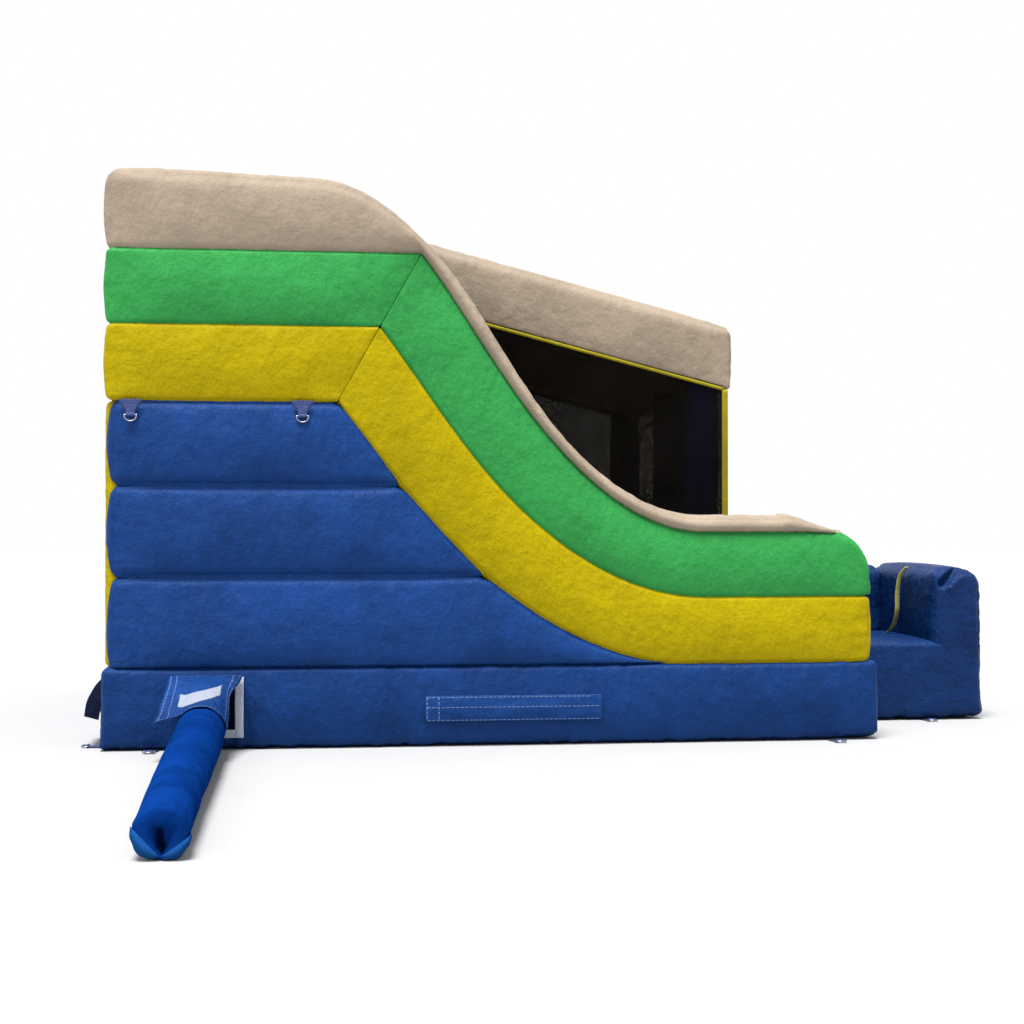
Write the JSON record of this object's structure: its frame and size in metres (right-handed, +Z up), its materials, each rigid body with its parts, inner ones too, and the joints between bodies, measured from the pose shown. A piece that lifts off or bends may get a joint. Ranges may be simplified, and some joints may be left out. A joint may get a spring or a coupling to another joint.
{
  "type": "inflatable bounce house",
  "caption": "Inflatable bounce house with a high slide along one side, a netted jumping area under a sloping roof, a walled entrance platform and a long blower sleeve.",
  "frame": {"origin": "on the ground under the middle of the main footprint, which is the slide and the jumping area without the entrance platform", "axes": "+X towards the entrance and the slide's exit, +Y from the slide's side to the jumping area's side, +Z up"},
  "size_m": [7.3726, 9, 4.3],
  "materials": {
    "vinyl_blue": "woven-backed PVC, satin",
    "vinyl_blue_gloss": "unlined PVC, glossier than the walls",
    "vinyl_yellow": "woven-backed PVC, satin",
    "vinyl_green": "woven-backed PVC, satin",
    "vinyl_tan": "woven-backed PVC, satin",
    "liner_vinyl": "smooth heavy PVC sheet",
    "baffle_cloth": "plain PVC cloth",
    "canopy_cloth": "light PVC cloth",
    "netting": "black knotless mesh",
    "trim_yellow": "sewn PVC strip",
    "trim_olive": "sewn PVC strip",
    "webbing_yellow": "woven webbing",
    "webbing_blue": "woven webbing under PVC",
    "hook_and_loop": "pile tape",
    "patch_white": "plain blank patch",
    "zipper_tape": "coil zipper tape",
    "zipper_metal": "black lacquer",
    "ring_steel": "zinc-plated steel wire"
  },
  "bodies": {
    "inflatable": {"slide_base": "vinyl_blue", "jump_floor": "vinyl_blue", "entrance_platform": "vinyl_blue", "entrance_step": "vinyl_blue", "floor_baffles": "baffle_cloth", "outer_wall_blue_panel": "vinyl_blue", "outer_wall_yellow_band": "vinyl_yellow", "outer_wall_green_band": "vinyl_green", "outer_wall_tan_cap": "vinyl_tan", "inner_wall_blue_panel": "vinyl_blue", "inner_wall_yellow_band": "vinyl_yellow", "inner_wall_green_band": "vinyl_green", "inner_wall_tan_cap": "vinyl_tan", "rear_wall": "vinyl_yellow", "rear_wall_cap": "vinyl_tan", "top_platform": "vinyl_blue", "slide_bed": "vinyl_blue", "slide_liner": "liner_vinyl", "landing_platform": "vinyl_blue", "climb_ramp": "vinyl_blue", "climb_rungs": "vinyl_yellow", "climb_handles": "webbing_yellow", "climb_side_wall": "vinyl_green", "house_low_walls": "vinyl_blue", "house_columns": "vinyl_blue", "near_roof_beam": "vinyl_tan", "far_roof_beam": "vinyl_tan", "rear_roof_beam": "vinyl_tan", "front_roof_beam": "vinyl_tan", "roof_canopy": "canopy_cloth", "near_net": "netting", "far_net": "netting", "rear_net": "netting", "front_net": "netting", "near_net_trim": "trim_yellow", "back_net_trims": "trim_yellow", "front_arch_trim": "trim_olive", "entrance_walls": "vinyl_blue", "entrance_strap": "webbing_yellow", "blower_sleeve": "vinyl_blue_gloss", "port_border": "hook_and_loop", "rear_sleeve": "vinyl_blue_gloss", "zipper_tape": "zipper_tape", "upper_anchor_tabs": "webbing_blue", "ground_anchor_tabs": "webbing_blue"},
    "ring_near_upper_rear": {"d_ring_near_upper_rear": "ring_steel"},
    "ring_near_upper_front": {"d_ring_near_upper_front": "ring_steel"},
    "ring_near_ground_rear": {"d_ring_near_ground_rear": "ring_steel"},
    "ring_near_ground_front": {"d_ring_near_ground_front": "ring_steel"},
    "ring_rear_ground_near": {"d_ring_rear_ground_near": "ring_steel"},
    "ring_far_ground_rear": {"d_ring_far_ground_rear": "ring_steel"},
    "ring_far_ground_front": {"d_ring_far_ground_front": "ring_steel"},
    "ring_step_ground": {"d_ring_step_ground": "ring_steel"},
    "port_flap": {"port_flap": "vinyl_blue_gloss", "port_patch": "patch_white"},
    "rear_port_flap": {"rear_port_flap": "vinyl_blue_gloss"},
    "zipper_cover": {"zipper_cover": "vinyl_blue"},
    "zipper_slider": {"zipper_slider": "zipper_metal"},
    "net_door": {"net_door": "netting"}
  },
  "joints": [
    {"name": "ring_near_upper_rear_swing", "type": "hinge", "parent": "inflatable", "child": "ring_near_upper_rear", "pos_m": [-2.72, -2.462, 2.445], "axis": [-1, 0, 0], "range_deg": [0, 110]},
    {"name": "ring_near_upper_front_swing", "type": "hinge", "parent": "inflatable", "child": "ring_near_upper_front", "pos_m": [-1.48, -2.462, 2.445], "axis": [-1, 0, 0], "range_deg": [0, 110]},
    {"name": "ring_near_ground_rear_swing", "type": "hinge", "parent": "inflatable", "child": "ring_near_ground_rear", "pos_m": [-2.57, -2.56, 0.014], "axis": [-1, 0, 0], "range_deg": [0, 110]},
    {"name": "ring_near_ground_front_swing", "type": "hinge", "parent": "inflatable", "child": "ring_near_ground_front", "pos_m": [2.56, -2.56, 0.014], "axis": [-1, 0, 0], "range_deg": [0, 110]},
    {"name": "ring_rear_ground_near_swing", "type": "hinge", "parent": "inflatable", "child": "ring_rear_ground_near", "pos_m": [-3.055, -2.18, 0.014], "axis": [0, 1, 0], "range_deg": [0, 110]},
    {"name": "ring_far_ground_rear_swing", "type": "hinge", "parent": "inflatable", "child": "ring_far_ground_rear", "pos_m": [-2.57, 2.56, 0.014], "axis": [1, 0, 0], "range_deg": [0, 110]},
    {"name": "ring_far_ground_front_swing", "type": "hinge", "parent": "inflatable", "child": "ring_far_ground_front", "pos_m": [1.7, 2.56, 0.014], "axis": [1, 0, 0], "range_deg": [0, 110]},
    {"name": "ring_step_ground_swing", "type": "hinge", "parent": "inflatable", "child": "ring_step_ground", "pos_m": [3.75, -1.365, 0.014], "axis": [-1, 0, 0], "range_deg": [0, 110]},
    {"name": "port_flap_lift", "type": "hinge", "parent": "inflatable", "child": "port_flap", "pos_m": [-2.17, -2.473, 0.55], "axis": [-1, 0, 0], "range_deg": [0, 95]},
    {"name": "rear_port_flap_lift", "type": "hinge", "parent": "inflatable", "child": "rear_port_flap", "pos_m": [-2.927, -1.94, 0.53], "axis": [0, 1, 0], "range_deg": [0, 55]},
    {"name": "zipper_cover_lift", "type": "hinge", "parent": "inflatable", "child": "zipper_cover", "pos_m": [0.085, -2.4855, 0.38], "axis": [-1, 0, 0], "range_deg": [0, 150]},
    {"name": "zipper_slide", "type": "slide", "parent": "inflatable", "child": "zipper_slider", "axis": [1, 0, 0], "range_m": [0, 1.06]},
    {"name": "net_door_swing", "type": "hinge", "parent": "inflatable", "child": "net_door", "pos_m": [1.984, -0.048, 1.46], "axis": [0, 0, 1], "range_deg": [-80, 0]}
  ]
}
